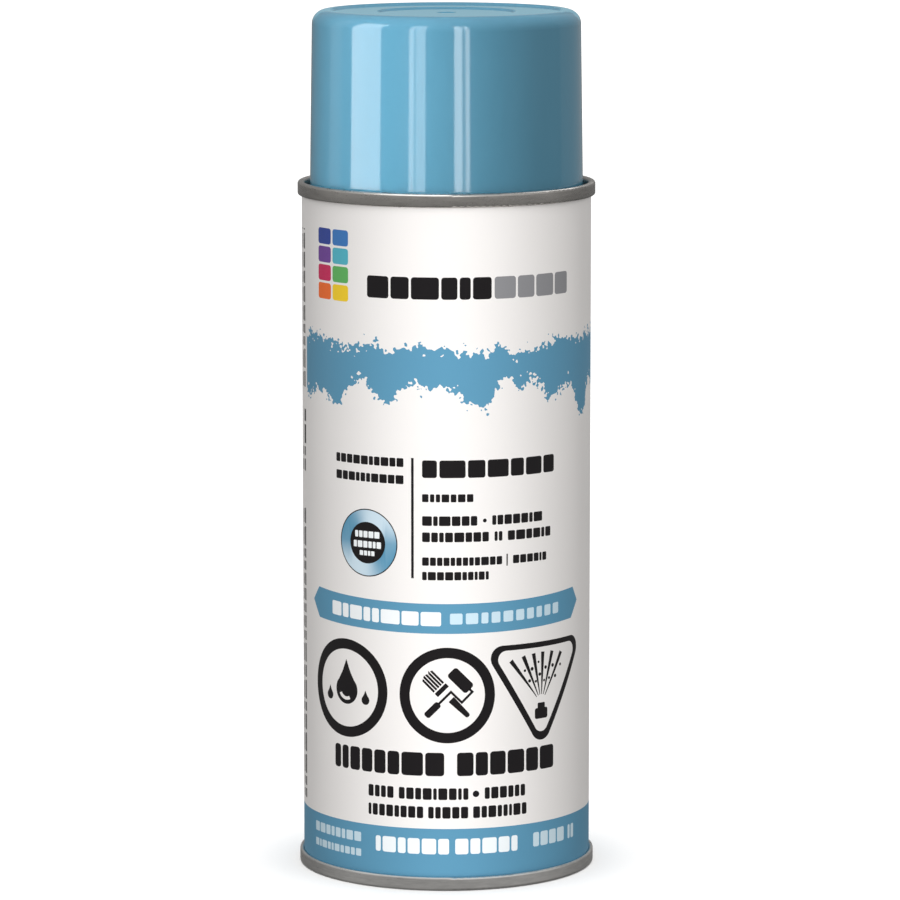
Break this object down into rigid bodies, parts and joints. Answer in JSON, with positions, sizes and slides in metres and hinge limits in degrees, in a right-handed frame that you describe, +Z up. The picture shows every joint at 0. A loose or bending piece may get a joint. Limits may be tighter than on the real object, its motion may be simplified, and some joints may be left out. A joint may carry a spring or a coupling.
{
  "type": "aerosol spray can",
  "caption": "Tinplate aerosol spray can for paint, with a lift-off overcap, a sprung spray button that turns on its valve stem, a dip tube and loose mixing balls inside.",
  "frame": {"origin": "centre of the circle that the can stands on", "axes": "+Z up along the can's axis, -Y to the front, which the nozzle faces"},
  "size_m": [0.0682, 0.0682, 0.1978],
  "materials": {
    "printed_tinplate": "white base coat printed on tinplate, gloss varnish",
    "tinplate": "bare tinplate, pressed",
    "sealing_compound": "dried can lining compound",
    "gasket_rubber": "cut from sheet rubber",
    "valve_plastic": "moulded, natural white",
    "spring_steel": "drawn stainless wire",
    "tube_plastic": "extruded, milky",
    "ball_steel": "ground steel",
    "button_plastic": "moulded, white",
    "insert_plastic": "moulded, white",
    "cap_plastic": "moulded, glossy light blue"
  },
  "bodies": {
    "can": {"can_body": "printed_tinplate", "can_top": "tinplate", "can_bottom": "tinplate", "seam_sealant_top": "sealing_compound", "seam_sealant_bottom": "sealing_compound", "mounting_cup": "tinplate", "cup_gasket": "gasket_rubber", "stem_gasket": "gasket_rubber", "valve_housing": "valve_plastic", "valve_spring": "spring_steel", "dip_tube": "tube_plastic"},
    "valve": {"valve_stem": "valve_plastic"},
    "spray_head": {"spray_button": "button_plastic", "nozzle_insert": "insert_plastic"},
    "cap": {"overcap": "cap_plastic"},
    "ball_1": {"mixing_ball_1": "ball_steel"},
    "ball_2": {"mixing_ball_2": "ball_steel"}
  },
  "joints": [
    {"name": "stem_press", "type": "slide", "parent": "can", "child": "valve", "axis": [0, 0, -1], "range_m": [0, 0.0015], "stiffness_N_per_m": 5000, "springref_m": -0.0015, "deforming": ["valve_spring"]},
    {"name": "button_turn", "type": "hinge", "parent": "valve", "child": "spray_head", "pos_m": [0, 0, 0.175], "axis": [0, 0, 1], "continuous": true},
    {"name": "cap_lift", "type": "slide", "parent": "can", "child": "cap", "axis": [0, 0, 1], "range_m": [0, 0.06]},
    {"name": "ball_1_rattle", "type": "slide", "parent": "can", "child": "ball_1", "axis": [0, 0, 1], "range_m": [0, 0.14]},
    {"name": "ball_2_rattle", "type": "slide", "parent": "can", "child": "ball_2", "axis": [0, 0, 1], "range_m": [0, 0.14]}
  ]
}
